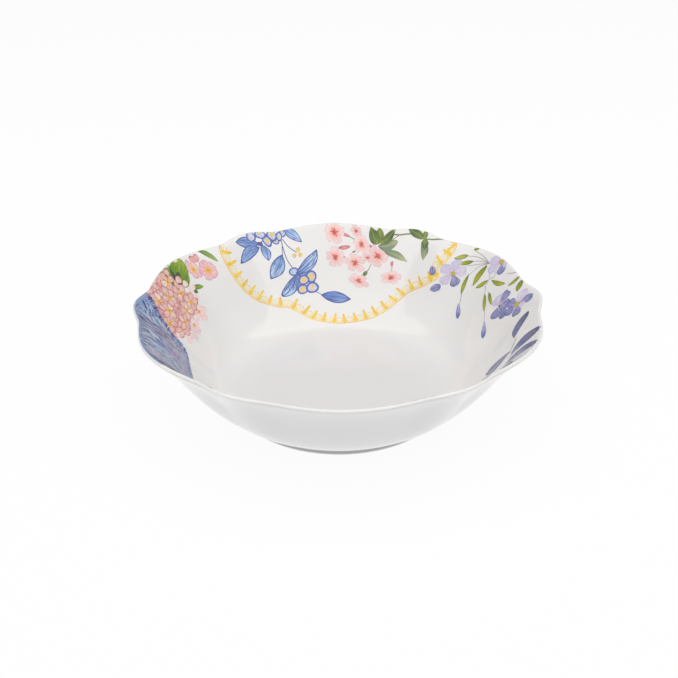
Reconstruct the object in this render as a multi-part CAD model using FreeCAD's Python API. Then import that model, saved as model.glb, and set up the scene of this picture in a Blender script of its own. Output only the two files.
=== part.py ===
"""Porcelain serving bowl with a lobed rim: fired body, clear glaze and printed enamel transfers.

The bowl stands on its foot ring. Seen from above, its rim has six wide lobes with a narrow ear between
each two, and the lobing runs down the wall and dies out at the foot. The wall is an ogee: it leaves the
foot low, turns steep above the belly and flares out again to the lip.

One STEP file is made for each piece:
  porcelain_body   the fired white body with its foot ring
  glaze_coat       the clear glaze over the outside, the lip and the inside, one dipped coat
  base_glaze       the clear glaze in the recess within the foot ring
  *_transfer       the printed enamel transfers, which lie on the inside glaze

Frame: millimetres, +Z up, origin at the centre of the foot ring's resting plane. The +X axis runs through
an ear of the rim and the +Y axis through a lobe.
"""

import FreeCAD, Part
import math
import os

# ---- driving dimensions, mm and degrees ----

RIM_RADIUS = 123.0            # mean radius there
RIM_HEIGHT = 65.3             # mean height of the wall's outside where the rounded lip begins
FOOT_RADIUS = 68.4            # outside of the foot ring
FOOT_HEIGHT = 4.0             # where the wall leaves the foot ring
FOOT_RING_WIDTH = 5.6         # width of the foot ring
FOOT_CHAMFER = 0.9            # chamfer on both edges of the foot ring
BASE_RECESS = 2.8             # depth of the recess inside the foot ring
FLOOR_HEIGHT = 7.6            # inside floor
FLOOR_RADIUS = 44.0           # flat part of the inside floor

BELLY_HANDLE = (99.5, 21.5)   # the outside is one Bezier curve with these two handles, radius and height
FLARE_HANDLE = (98.0, 40.0)
INSIDE_JOINT = 0.34           # share of the wall above which the inside runs along the outside
COVE_SHARE = 0.48             # share of the inside, from the floor's edge up, that is the cove below that

WALL_AT_FOOT = 4.6            # wall thickness, glaze included
WALL_AT_RIM = 2.3
GLAZE = 0.3                   # clear glaze on each side
GLAZE_LINE = 1.4              # the foot ring is wiped clean of glaze below this height

LOBES = 6
EAR_HALF_WIDTH = 10.5         # degrees from an ear's crown to the notch beside it
EAR_RISE = 3.5                # how far an ear's crown stands out from the notch
LOBE_RISE = 4.0               # the same for a lobe
EAR_LIFT = 1.6                # how far an ear's crown stands above the notch
LOBE_LIFT = 1.25
NOTCH_INSET = 2.0             # notch, in from the mean radius
NOTCH_DROP = 0.6              # notch, down from the mean height
FULLNESS = 0.8                # under 1 makes the crowns fuller and the notches tighter
LOBING_FADE = 1.5             # over 1 makes the lobing die out sooner towards the foot

TRANSFER = 0.12               # enamel transfer's thickness
TRANSFER_TOP = 0.98           # where a transfer's upper edge lies on the inside

RING_STEP = 1.5               # degrees between the points of a ring
WALL_STEPS = 9                # spans between the rings of the outside
INSIDE_STEPS = 15             # the same for the inside
LIP_STEPS = 6                 # spans between the rings round the lip
TRANSFER_STEP = 1.5           # degrees between the columns of a transfer
TRANSFER_ROWS = 12


# ---- the wall's section: points are (radius, height) ----

WALL = ((FOOT_RADIUS, FOOT_HEIGHT), BELLY_HANDLE, FLARE_HANDLE, (RIM_RADIUS, RIM_HEIGHT))


def bezier(points, t):
    """Point of a cubic Bezier curve."""
    weights = ((1 - t) ** 3, 3 * t * (1 - t) ** 2, 3 * t * t * (1 - t), t ** 3)
    return tuple(sum(w * p[axis] for w, p in zip(weights, points)) for axis in (0, 1))


def bezier_direction(points, t):
    """Unit direction of the curve."""
    weights = (-3 * (1 - t) ** 2, 3 * (1 - t) * (1 - 3 * t), 3 * t * (2 - 3 * t), 3 * t * t)
    dr, dz = (sum(w * p[axis] for w, p in zip(weights, points)) for axis in (0, 1))
    length = math.hypot(dr, dz)
    return dr / length, dz / length


def wall_point(s, depth):
    """Point depth mm inwards from the outside, at s: 0 at the foot and 1 at the lip."""
    r, z = bezier(WALL, s)
    dr, dz = bezier_direction(WALL, s)
    return r - dz * depth, z + dr * depth


def inside_point(s, depth):
    """Point depth mm into the wall from the inside, or out of it if depth is negative."""
    return wall_point(s, WALL_AT_FOOT + (WALL_AT_RIM - WALL_AT_FOOT) * s - depth)


def cove(depth):
    """Bezier curve from the edge of the inside floor up to the inside of the wall."""
    end = inside_point(INSIDE_JOINT, depth)
    dr, dz = bezier_direction(WALL, INSIDE_JOINT)
    floor = FLOOR_HEIGHT - depth
    reach = 0.42 * (end[0] - FLOOR_RADIUS)
    return ((FLOOR_RADIUS, floor), (FLOOR_RADIUS + 1.25 * reach, floor),
            (end[0] - reach * dr, end[1] - reach * dz), end)


# ---- the lobed rim ----

def crown(angle, centre, half_width):
    """1 at a crown and 0 at the notches beside it."""
    away = min(abs(angle - centre), half_width) / half_width
    return (0.5 + 0.5 * math.cos(math.pi * away)) ** FULLNESS


def lobing(degrees):
    """How far the lip stands out and up at that angle, from its mean circle."""
    sector = 360.0 / LOBES
    angle = abs((degrees + sector / 2) % sector - sector / 2)
    ear = crown(angle, 0.0, EAR_HALF_WIDTH)
    lobe = crown(angle, sector / 2, sector / 2 - EAR_HALF_WIDTH)
    out = EAR_RISE * ear + LOBE_RISE * lobe - NOTCH_INSET
    up = EAR_LIFT * ear + LOBE_LIFT * lobe - NOTCH_DROP
    return out, up


def lobing_share(s):
    """Share of the lip's lobing that the wall has at s."""
    return math.sin(math.pi / 2 * s) ** LOBING_FADE


def inside_at(v, depth):
    """Section point and share of the lobing on the inside at v: 0 at the floor's edge, 1 at the lip."""
    if v < COVE_SHARE:
        t = v / COVE_SHARE
        return bezier(cove(depth), t), lobing_share(INSIDE_JOINT) * t * t
    s = INSIDE_JOINT + (1 - INSIDE_JOINT) * (v - COVE_SHARE) / (1 - COVE_SHARE)
    return inside_point(s, depth), lobing_share(s)


def on_bowl(section, share, degrees):
    """The section's point at that angle, moved by that share of the lobing."""
    out, up = lobing(degrees)
    r = section[0] + share * out
    a = math.radians(degrees)
    return FreeCAD.Vector(r * math.cos(a), r * math.sin(a), section[1] + share * up)


# ---- rings and the faces between them ----

def ring(section, share=0.0):
    """Closed ring through the section's point, all the way round."""
    count = int(360 / RING_STEP)
    points = [on_bowl(section, share, RING_STEP * k) for k in range(count)]
    curve = Part.BSplineCurve()
    curve.interpolate(Points=points, PeriodicFlag=True, Parameters=[k / count for k in range(count + 1)])
    return Part.Wire(curve.toShape())


def skin(rings):
    """Smooth face through the rings, or a plain band between two."""
    return Part.makeLoft(rings, False, len(rings) == 2).Faces


def disc(outer, inner=None):
    """Flat face inside a ring, or between two rings."""
    wires = [outer, inner] if inner else [outer]
    return Part.makeFace(wires, "Part::FaceMakerBullseye").Faces


def outside_rings(depth):
    return [ring(wall_point(k / WALL_STEPS, depth), lobing_share(k / WALL_STEPS))
            for k in range(WALL_STEPS + 1)]


def lip_rings(depth, first, last):
    """Rings over the lip, a half circle from the top of the outside to the top of the inside."""
    outer, inner = wall_point(1.0, depth), inside_point(1.0, depth)
    middle = ((outer[0] + inner[0]) / 2, (outer[1] + inner[1]) / 2)
    dr, dz = bezier_direction(WALL, 1.0)
    rings = [first]
    for k in range(1, LIP_STEPS):
        a = math.pi * k / LIP_STEPS
        across = (WALL_AT_RIM / 2 - depth) * math.cos(a)
        along = (WALL_AT_RIM / 2 - depth) * math.sin(a)
        rings.append(ring((middle[0] + across * dz + along * dr, middle[1] - across * dr + along * dz), 1.0))
    return rings + [last]


def inside_rings(depth):
    """Rings of the inside, from the lip down to the edge of the floor."""
    return [ring(*inside_at(1 - k / INSIDE_STEPS, depth)) for k in range(INSIDE_STEPS + 1)]


def bowl_skin(depth):
    """Faces of the whole bowl depth mm in, from the foot's side over the lip to the floor, and the
    ring at the lower edge."""
    bottom = ring((FOOT_RADIUS - depth, GLAZE_LINE))
    outside, inside = outside_rings(depth), inside_rings(depth)
    lip = lip_rings(depth, outside[-1], inside[0])
    faces = skin([bottom, outside[0]]) + skin(outside) + skin(lip) + skin(inside) + disc(inside[-1])
    return faces, bottom


def closed(faces):
    """One solid from faces that meet edge to edge."""
    shell = Part.Shell(faces)
    shell.sewShape()
    solid = Part.Solid(shell)
    if solid.Volume < 0:
        solid.reverse()
    return solid


# ---- body and glaze ----

def foot_faces(top):
    """Faces of the bare foot ring and of the base inside it, below the ring at the glaze line."""
    outer = FOOT_RADIUS - GLAZE
    inner = FOOT_RADIUS - FOOT_RING_WIDTH
    recess = BASE_RECESS + GLAZE
    rings = [top, ring((outer, FOOT_CHAMFER)), ring((outer - FOOT_CHAMFER, 0)),
             ring((inner + FOOT_CHAMFER, 0)), ring((inner, FOOT_CHAMFER)),
             ring((inner + FOOT_CHAMFER - recess, recess))]
    faces = disc(rings[2], rings[3]) + disc(rings[5])
    for k in (0, 1, 3, 4):
        faces += skin([rings[k], rings[k + 1]])
    return faces


def porcelain_body(body_skin, body_bottom):
    return closed(body_skin + foot_faces(body_bottom))


def glaze_coat(body_skin, body_bottom):
    faces, bottom = bowl_skin(0.0)
    return closed(faces + disc(bottom, body_bottom) + body_skin)


def base_glaze():
    edge = FOOT_RADIUS - FOOT_RING_WIDTH + FOOT_CHAMFER
    return Part.makeCone(edge - BASE_RECESS, edge - BASE_RECESS - GLAZE, GLAZE,
                         FreeCAD.Vector(0, 0, BASE_RECESS))


# ---- transfers on the inside ----

def sheet(first, last, lower_edge, lift):
    """Four-sided patch of the inside, lift mm above the glaze."""
    columns = round((last - first) / TRANSFER_STEP)
    grid = []
    for i in range(columns + 1):
        low = lower_edge(i / columns)
        levels = [TRANSFER_TOP + (low - TRANSFER_TOP) * j / TRANSFER_ROWS for j in range(TRANSFER_ROWS + 1)]
        grid.append([on_bowl(*inside_at(v, -lift), first + TRANSFER_STEP * i) for v in levels])
    surface = Part.BSplineSurface()
    surface.interpolate(grid)
    return surface.toShape()


def transfer(first, last, lower_edge):
    """Printed transfer from one angle to another; lower_edge(u) gives its lower edge on the inside,
    for u from 0 to 1 along it."""
    back, front = sheet(first, last, lower_edge, 0.0), sheet(first, last, lower_edge, TRANSFER)
    sides = [Part.makeRuledSurface(a, b) for a, b in zip(back.Edges, front.Edges)]
    return closed([back, front] + sides)


def hanging(ends, middle):
    """Lower edge that hangs down in the middle."""
    return lambda u: ends + (middle - ends) * math.sin(math.pi * u)


# name: first angle, last angle, lower edge. The angles turn from +X towards +Y.
TRANSFERS = {
    "slate_leaf_transfer": (-36.0, -4.5, hanging(0.80, 0.50)),
    "plumbago_transfer": (-3.0, 45.0, hanging(0.74, 0.42)),
    "medallion_transfer": (46.5, 133.5, hanging(0.80, 0.20)),
    "hydrangea_transfer": (135.0, 178.5, hanging(0.80, 0.48)),
    "lace_transfer": (180.0, 216.0, hanging(0.80, 0.48)),
    "lilac_spray_transfer": (217.5, 237.0, hanging(0.80, 0.54)),
    "front_medallion_transfer": (238.5, 301.5, hanging(0.80, 0.34)),
    "blossom_transfer": (303.0, 322.5, hanging(0.80, 0.54)),
}


def save(shape, name):
    if not shape.isValid() or shape.Volume <= 0:
        raise RuntimeError(name + " is not a sound solid")
    shape.exportStep(os.path.join("parts", name + ".step"))
    box = shape.BoundBox
    print("%-26s %10.1f mm3   z %6.2f to %6.2f" % (name, shape.Volume, box.ZMin, box.ZMax))


def main():
    os.makedirs("parts", exist_ok=True)
    body_skin, body_bottom = bowl_skin(GLAZE)
    save(porcelain_body(body_skin, body_bottom), "porcelain_body")
    save(glaze_coat(body_skin, body_bottom), "glaze_coat")
    save(base_glaze(), "base_glaze")
    for name, (first, last, lower_edge) in TRANSFERS.items():
        save(transfer(first, last, lower_edge), name)


main()
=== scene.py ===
import math
import random

import bpy
import numpy as np
from mathutils import Matrix, Vector


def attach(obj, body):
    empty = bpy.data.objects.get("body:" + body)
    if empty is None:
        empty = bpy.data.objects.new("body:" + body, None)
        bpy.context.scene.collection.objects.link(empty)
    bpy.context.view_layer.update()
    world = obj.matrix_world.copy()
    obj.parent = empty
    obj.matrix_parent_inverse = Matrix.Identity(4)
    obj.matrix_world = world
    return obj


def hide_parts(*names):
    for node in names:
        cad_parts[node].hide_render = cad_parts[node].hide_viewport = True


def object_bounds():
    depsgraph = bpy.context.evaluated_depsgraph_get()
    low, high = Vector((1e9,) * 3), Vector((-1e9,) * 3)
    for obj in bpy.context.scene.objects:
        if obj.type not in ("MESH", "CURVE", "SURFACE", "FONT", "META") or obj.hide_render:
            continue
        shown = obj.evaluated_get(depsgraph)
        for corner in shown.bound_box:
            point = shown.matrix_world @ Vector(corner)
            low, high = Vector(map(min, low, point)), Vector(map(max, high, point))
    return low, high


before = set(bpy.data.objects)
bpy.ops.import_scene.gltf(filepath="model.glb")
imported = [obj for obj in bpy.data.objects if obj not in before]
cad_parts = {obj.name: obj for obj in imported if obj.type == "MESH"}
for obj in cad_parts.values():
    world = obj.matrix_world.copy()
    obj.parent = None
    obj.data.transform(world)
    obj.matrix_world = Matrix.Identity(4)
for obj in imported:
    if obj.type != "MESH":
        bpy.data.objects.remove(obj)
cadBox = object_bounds()
random.seed(7)

# the bowl's form, in metres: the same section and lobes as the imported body
bowl = {
    "rimRadius": 0.123, "rimHeight": 0.0653,
    "footRadius": 0.0684, "wallStart": 0.004,
    "bellyHandle": (0.0995, 0.0215), "flareHandle": (0.098, 0.040),
    "wallAtFoot": 0.0046, "wallAtRim": 0.0023, "glaze": 0.0003, "glazeLine": 0.0014,
    "floorHeight": 0.0076, "floorRadius": 0.044, "joint": 0.34, "coveShare": 0.48,
    "footWidth": 0.0056, "footEdge": 0.0009, "recess": 0.0028,
    "insideRun": 0.1033,              # length of the inside, from the lip to the floor's edge
}
lobes = {
    "count": 6, "earHalf": 10.5, "earOut": 0.0035, "lobeOut": 0.004, "inset": 0.002,
    "earUp": 0.0016, "lobeUp": 0.00125, "drop": 0.0006, "fullness": 0.8, "fade": 1.5,
}


# ---- the form as functions ----

def bezier(points, t):
    weights = ((1 - t) ** 3, 3 * t * (1 - t) ** 2, 3 * t * t * (1 - t), t ** 3)
    return [sum(w * p[axis] for w, p in zip(weights, points)) for axis in (0, 1)]


def bezierDirection(points, t):
    weights = (-3 * (1 - t) ** 2, 3 * (1 - t) * (1 - 3 * t), 3 * t * (2 - 3 * t), 3 * t * t)
    run = [sum(w * p[axis] for w, p in zip(weights, points)) for axis in (0, 1)]
    length = math.hypot(*run)
    return run[0] / length, run[1] / length


wallCurve = ((bowl["footRadius"], bowl["wallStart"]), bowl["bellyHandle"], bowl["flareHandle"],
             (bowl["rimRadius"], bowl["rimHeight"]))


def wallPoint(s, depth):                  # depth is inwards from the outside, s runs from foot to lip
    r, z = bezier(wallCurve, s)
    dr, dz = bezierDirection(wallCurve, s)
    return r - dz * depth, z + dr * depth


def insidePoint(s, lift):
    return wallPoint(s, bowl["wallAtFoot"] + (bowl["wallAtRim"] - bowl["wallAtFoot"]) * s + lift)


def lobeShare(s):
    return math.sin(math.pi / 2 * s) ** lobes["fade"]


def crown(angle, centre, half):
    away = np.minimum(np.abs(angle - centre), half) / half
    return (0.5 + 0.5 * np.cos(np.pi * away)) ** lobes["fullness"]


def lobing(degrees):
    sector = 360 / lobes["count"]
    angle = np.abs((degrees + sector / 2) % sector - sector / 2)
    ear = crown(angle, 0, lobes["earHalf"])
    lobe = crown(angle, sector / 2, sector / 2 - lobes["earHalf"])
    return (lobes["earOut"] * ear + lobes["lobeOut"] * lobe - lobes["inset"],
            lobes["earUp"] * ear + lobes["lobeUp"] * lobe - lobes["drop"])


def insideSection(v, lift):               # v is 0 at the floor's edge and 1 at the lip
    if v < bowl["coveShare"]:
        t = max(v, 0) / bowl["coveShare"]
        end = insidePoint(bowl["joint"], lift)
        dr, dz = bezierDirection(wallCurve, bowl["joint"])
        floor = bowl["floorHeight"] + lift
        reach = 0.42 * (end[0] - bowl["floorRadius"])
        cove = ((bowl["floorRadius"], floor), (bowl["floorRadius"] + 1.25 * reach, floor),
                (end[0] - reach * dr, end[1] - reach * dz), end)
        return (*bezier(cove, t), lobeShare(bowl["joint"]) * t * t)
    s = bowl["joint"] + (1 - bowl["joint"]) * (v - bowl["coveShare"]) / (1 - bowl["coveShare"])
    return (*insidePoint(s, lift), lobeShare(min(s, 1)))


# how far a print stands off the glaze and over the lip, in millimetres
printing = {"lift": 0.05, "step": 0.006, "atTurn": 0.12,
            "overLip": 1.7, "markOverLip": 1.0, "belowCrest": 0.005}

# the decorator's chart of the inside: a place is (angle in degrees, millimetres down from the lip)
chartDown = np.arange(0, 103, 0.5)
chartGlaze = np.array([insideSection(1 - d / 1000 / bowl["insideRun"], 0) for d in chartDown])
chartLifted = np.array([insideSection(1 - d / 1000 / bowl["insideRun"], 0.001) for d in chartDown])


def radiusAt(down):                       # in millimetres
    return np.interp(down, chartDown, chartGlaze[:, 0]) * 1000


def onGlaze(places, lift):                # lift in millimetres above the glaze
    # a print stands clear of the turn just below the lip and thins out over the top of it
    down = np.maximum(places[:, 1], -printing["overLip"])
    lift = lift + printing["atTurn"] * np.exp(-((down - 0.2) / 0.7) ** 2)
    lift = lift * np.clip(1 + 0.5 * down, 0.1, 1)
    low = [np.interp(down, chartDown, chartGlaze[:, k]) for k in range(3)]
    high = [np.interp(down, chartDown, chartLifted[:, k]) for k in range(3)]
    r, z, share = [a + (b - a) * lift for a, b in zip(low, high)]
    # above the lip line a print rolls over the rounded lip
    outer, inner = wallPoint(1, 0), insidePoint(1, 0)
    dr, dz = bezierDirection(wallCurve, 1)
    half = bowl["wallAtRim"] / 2
    turn = np.pi + down / 1000 / half
    reach = half + lift / 1000
    over = down < 0
    r = np.where(over, (outer[0] + inner[0]) / 2 + reach * (np.cos(turn) * dz + np.sin(turn) * dr), r)
    z = np.where(over, (outer[1] + inner[1]) / 2 + reach * (np.sin(turn) * dz - np.cos(turn) * dr), z)
    out, up = lobing(places[:, 0])
    a = np.radians(places[:, 0])
    # no print rises above the crest of the lip
    crest = cadBox[1][2] - (printing["belowCrest"] - 0.002 * lift) / 1000
    r, z = r + share * out, np.minimum(z + share * up, crest)
    return np.column_stack((r * np.cos(a), r * np.sin(a), z))


# ---- modelling helpers ----

def clearSelection():
    if bpy.context.mode != "OBJECT":
        bpy.ops.object.mode_set(mode="OBJECT")
    bpy.ops.object.select_all(action="DESELECT")


def makeActive(piece):
    clearSelection()
    piece.select_set(True)
    bpy.context.view_layer.objects.active = piece


def applyModifier(piece, kind, **settings):
    makeActive(piece)
    made = piece.modifiers.new(kind.title(), kind)
    for key, value in settings.items():
        setattr(made, key, value)
    bpy.ops.object.modifier_apply(modifier=made.name)


def throwForm(name, rows, sides):
    # a ring drawn up row by row, as on the wheel: rows are (radius, height, share of the lobing)
    clearSelection()
    r, z, _ = rows[0]
    bpy.ops.mesh.primitive_circle_add(vertices=sides, radius=r, location=(0, 0, z))
    piece = bpy.context.object
    piece.name = piece.data.name = name
    bpy.ops.object.transform_apply(location=True, rotation=True, scale=True)
    bpy.ops.object.mode_set(mode="EDIT")
    bpy.ops.mesh.select_all(action="SELECT")
    for (r0, z0, _), (r1, z1, _) in zip(rows, rows[1:]):
        bpy.ops.mesh.extrude_region_move(TRANSFORM_OT_translate={"value": (0, 0, z1 - z0)})
        bpy.ops.transform.resize(value=(r1 / r0, r1 / r0, 1), center_override=(0, 0, z1))
    bpy.ops.object.mode_set(mode="OBJECT")
    pressLobes(piece, rows)
    return piece


def closePole(piece, height, radius):
    # the last small ring is drawn together to one point
    makeActive(piece)
    bpy.ops.object.mode_set(mode="EDIT")
    bpy.ops.mesh.select_all(action="DESELECT")
    bpy.ops.object.mode_set(mode="OBJECT")
    for vert in piece.data.vertices:
        vert.select = math.hypot(vert.co.x, vert.co.y) < radius and abs(vert.co.z - height) < 1e-4
    bpy.ops.object.mode_set(mode="EDIT")
    bpy.ops.mesh.merge(type="CENTER")
    bpy.ops.object.mode_set(mode="OBJECT")


def pressLobes(piece, rows):
    table = np.array(rows)
    for vert in piece.data.vertices:
        r = math.hypot(vert.co.x, vert.co.y)
        row = table[np.argmin((table[:, 0] - r) ** 2 + (table[:, 1] - vert.co.z) ** 2)]
        if row[2] == 0:
            continue
        out, up = lobing(math.degrees(math.atan2(vert.co.y, vert.co.x)))
        k = (r + row[2] * out) / r
        vert.co = (vert.co.x * k, vert.co.y * k, vert.co.z + row[2] * up)


def finishMesh(piece):
    makeActive(piece)
    bpy.ops.object.mode_set(mode="EDIT")
    bpy.ops.mesh.select_all(action="SELECT")
    bpy.ops.mesh.remove_doubles(threshold=1e-6)
    bpy.ops.mesh.normals_make_consistent(inside=False)
    bpy.ops.object.mode_set(mode="OBJECT")
    bpy.ops.object.shade_smooth()


# ---- material helpers ----

def newMaterial(name, rough, coat=0.0, coatRough=0.03):
    material = bpy.data.materials.new(name)
    material.use_nodes = True
    shader = material.node_tree.nodes["Principled BSDF"]
    shader.inputs["Roughness"].default_value = rough
    shader.inputs["Coat Weight"].default_value = coat
    shader.inputs["Coat Roughness"].default_value = coatRough
    shader.inputs["IOR"].default_value = 1.5
    if coat:
        shader.inputs["Specular IOR Level"].default_value = 0.0    # the glaze alone is glossy
    return material, material.node_tree, shader


def addNode(tree, kind, **settings):
    node = tree.nodes.new(kind)
    for key, value in settings.items():
        setattr(node, key, value)
    return node


def mathNode(tree, operation, first, second=None, third=None):
    node = addNode(tree, "ShaderNodeMath", operation=operation)
    for socket, value in zip(node.inputs, (first, second, third)):
        if isinstance(value, (int, float)):
            socket.default_value = value
        elif value is not None:
            tree.links.new(value, socket)
    return node.outputs[0]


def mixColours(tree, factor, first, second):
    node = addNode(tree, "ShaderNodeMix", data_type="RGBA")
    for socket, value in ((node.inputs[0], factor), (node.inputs[6], first), (node.inputs[7], second)):
        if isinstance(value, tuple):
            socket.default_value = (*value, 1)
        elif isinstance(value, (int, float)):
            socket.default_value = value
        else:
            tree.links.new(value, socket)
    return node.outputs[2]


def smoothStep(tree, value, low, high):
    node = addNode(tree, "ShaderNodeMapRange", interpolation_type="SMOOTHSTEP")
    tree.links.new(value, node.inputs["Value"])
    node.inputs["From Min"].default_value = low
    node.inputs["From Max"].default_value = high
    return node.outputs["Result"]


def noise(tree, vector, scale, detail=2.0, rough=0.5):
    node = addNode(tree, "ShaderNodeTexNoise")
    node.inputs["Scale"].default_value = scale
    node.inputs["Detail"].default_value = detail
    node.inputs["Roughness"].default_value = rough
    tree.links.new(vector, node.inputs["Vector"])
    return node.outputs["Fac"]


def rgb(*colour):                         # red, green and blue up to 255, to the renderer's scale
    return tuple(c / 255 / 12.92 if c <= 10 else ((c / 255 + 0.055) / 1.055) ** 2.4 for c in colour)


# ---- glaze and bare porcelain ----

glazeLook = {
    # painted shade: the outside colour is the glaze white made greyer
    "white": rgb(229, 228, 227), "outside": rgb(219, 218, 218),
    # painted shade: the darker grey is painted low down towards the foot; it also tints the faint clouds in
    # the glaze
    "cloudAndShadeGrey": rgb(182, 180, 184), "lip": rgb(230, 229, 227), "fleck": rgb(190, 184, 174),
    "rough": 0.3, "coat": 1.0, "coatRough": 0.07, "ripple": 0.05,
    "shadeFrom": 0.013, "shadeTo": 0.004, "floorShadeShare": 0.35,      # heights in metres, share on the floor
    "lipFrom": 0.0655, "lipTo": 0.0672, "cloud": 0.03,
}


def addRipple(tree, place, shader):        # a fired glaze is never quite flat
    ripple = addNode(tree, "ShaderNodeBump")
    ripple.inputs["Strength"].default_value = glazeLook["ripple"]
    ripple.inputs["Distance"].default_value = 0.0004
    tree.links.new(noise(tree, place, 65, 2), ripple.inputs["Height"])
    tree.links.new(ripple.outputs["Normal"], shader.inputs["Normal"])
    tree.links.new(ripple.outputs["Normal"], shader.inputs["Coat Normal"])


def objectPlace(tree):                    # the place on the piece, and its height
    place = addNode(tree, "ShaderNodeTexCoord").outputs["Object"]
    parts = addNode(tree, "ShaderNodeSeparateXYZ")
    tree.links.new(place, parts.inputs[0])
    return place, parts.outputs["Z"]


def makeGlaze():
    look = glazeLook
    material, tree, shader = newMaterial("clearGlaze", look["rough"], look["coat"], look["coatRough"])
    place, height = objectPlace(tree)
    cloud = noise(tree, place, 28, 3)
    fleck = noise(tree, place, 900, 1)
    # painted shade: the outside is painted a shade greyer than the inside, where less light falls
    outwards = addNode(tree, "ShaderNodeVectorMath", operation="DOT_PRODUCT")
    tree.links.new(place, outwards.inputs[0])
    tree.links.new(addNode(tree, "ShaderNodeTexCoord").outputs["Normal"], outwards.inputs[1])
    outer = smoothStep(tree, outwards.outputs["Value"], 0.0, 0.05)
    colour = mixColours(tree, outer, look["white"], look["outside"])
    # painted shade: darker low on the outside towards the foot, and a little on the floor inside; the glaze
    # is thin and pale on the lip
    low = mathNode(tree, "MULTIPLY", smoothStep(tree, height, look["shadeFrom"], look["shadeTo"]),
                   mathNode(tree, "MULTIPLY_ADD", outer, 1 - look["floorShadeShare"], look["floorShadeShare"]))
    colour = mixColours(tree, low, colour, look["cloudAndShadeGrey"])
    colour = mixColours(tree, smoothStep(tree, height, look["lipFrom"], look["lipTo"]), colour, look["lip"])
    colour = mixColours(tree, mathNode(tree, "MULTIPLY", cloud, look["cloud"]), colour, look["cloudAndShadeGrey"])
    specks = smoothStep(tree, fleck, 0.80, 0.86)
    colour = mixColours(tree, mathNode(tree, "MULTIPLY", specks, 0.35), colour, look["fleck"])
    tree.links.new(colour, shader.inputs["Base Color"])
    addRipple(tree, place, shader)
    return material


def makeBarePorcelain():
    material, tree, shader = newMaterial("bareFoot", 0.75)
    place, height = objectPlace(tree)
    grain = noise(tree, place, 1400, 4, 0.7)
    smudge = noise(tree, place, 60, 4)
    ground = mixColours(tree, grain, rgb(226, 222, 214), rgb(238, 235, 229))
    # the standing edge is rubbed and takes up a little grey
    worn = mathNode(tree, "MULTIPLY", smoothStep(tree, height, 0.0007, 0.0),
                    smoothStep(tree, smudge, 0.35, 0.7))
    colour = mixColours(tree, mathNode(tree, "MULTIPLY", worn, 0.55), ground, rgb(176, 170, 160))
    tree.links.new(colour, shader.inputs["Base Color"])
    bump = addNode(tree, "ShaderNodeBump")
    bump.inputs["Strength"].default_value = 0.35
    bump.inputs["Distance"].default_value = 0.0001
    tree.links.new(grain, bump.inputs["Height"])
    tree.links.new(bump.outputs["Normal"], shader.inputs["Normal"])
    return material


clearGlaze = makeGlaze()
bareFoot = makeBarePorcelain()


# ---- the glazed bowl ----

bowlMesh = {"sides": 360, "wallRows": 34, "insideRows": 46, "lipRows": 9,
            "bodySides": 180, "bodyWallRows": 14, "bodyInsideRows": 18}


def lipRows(depth, count):
    outer, inner = wallPoint(1, depth), insidePoint(1, -depth)
    middle = ((outer[0] + inner[0]) / 2, (outer[1] + inner[1]) / 2)
    dr, dz = bezierDirection(wallCurve, 1)
    half = bowl["wallAtRim"] / 2 - depth
    turns = [math.pi * k / count for k in range(1, count)]
    return [(middle[0] + half * (math.cos(a) * dz + math.sin(a) * dr),
             middle[1] + half * (math.sin(a) * dz - math.cos(a) * dr), 1.0) for a in turns]


def bowlRows(depth, wallCount, lipCount, insideCount):
    # up the foot, with a small cove where the wall springs from it, over the lip and down to the floor
    r, z = bowl["footRadius"] - depth, bowl["wallStart"]
    rows = [(r, bowl["glazeLine"], 0), (r, z - 0.0014, 0), (r + 0.00015, z - 0.0006, 0),
            (r + 0.0006, z + 0.0001, 0)]
    for k in range(1, wallCount + 1):
        s = (k / wallCount) ** 1.05
        rows.append((*wallPoint(s, depth), lobeShare(s)))
    rows += lipRows(depth, lipCount)
    rows += [insideSection(1 - k / insideCount, -depth) for k in range(insideCount + 1)]
    floor = rows[-1][1]
    rows += [(r, floor, 0) for r in (0.038, 0.030, 0.021, 0.012, 0.005, 0.0008)]
    return rows


def finishPiece(piece, material):
    piece.data.materials.append(material)
    makeActive(piece)
    bpy.ops.object.shade_smooth_by_angle(angle=math.radians(50))
    return piece


def makeGlazedBowl():
    rows = bowlRows(0, bowlMesh["wallRows"], bowlMesh["lipRows"], bowlMesh["insideRows"])
    piece = throwForm("glazedBowl", rows, bowlMesh["sides"])
    closePole(piece, rows[-1][1], 0.001)
    finishMesh(piece)
    applyModifier(piece, "SOLIDIFY", thickness=bowl["glaze"], offset=-1, use_even_offset=True)
    return finishPiece(piece, clearGlaze)


def makeFootedBody():
    # the body under the glaze, whose foot ring is the only part of it left bare
    depth = bowl["glaze"]
    outer = bowl["footRadius"] - depth
    inner = bowl["footRadius"] - bowl["footWidth"]
    edge = bowl["footEdge"]
    recess = bowl["recess"] + depth
    under = [(0.0008, recess, 0), (0.02, recess, 0), (0.045, recess, 0), (inner - recess + edge, recess, 0),
             (inner - 0.0006, edge + 0.0005, 0), (inner, edge, 0)]
    for k in range(1, 5):                 # rounded inner and outer edges of the standing face
        a = math.pi / 2 * k / 4
        under.append((inner + edge * (1 - math.cos(a)), edge * (1 - math.sin(a)), 0))
    for k in range(0, 5):
        a = math.pi / 2 * k / 4
        under.append((outer - edge * (1 - math.sin(a)), edge * (1 - math.cos(a)), 0))
    rows = under + bowlRows(depth, bowlMesh["bodyWallRows"], 4, bowlMesh["bodyInsideRows"])
    piece = throwForm("footedBody", rows, bowlMesh["bodySides"])
    closePole(piece, recess, 0.001)
    closePole(piece, rows[-1][1], 0.001)
    finishMesh(piece)
    return finishPiece(piece, bareFoot)


glazedBowl = makeGlazedBowl()
footedBody = makeFootedBody()
print("bowl thrown:", len(glazedBowl.data.polygons), "and", len(footedBody.data.polygons), "faces")

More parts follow.
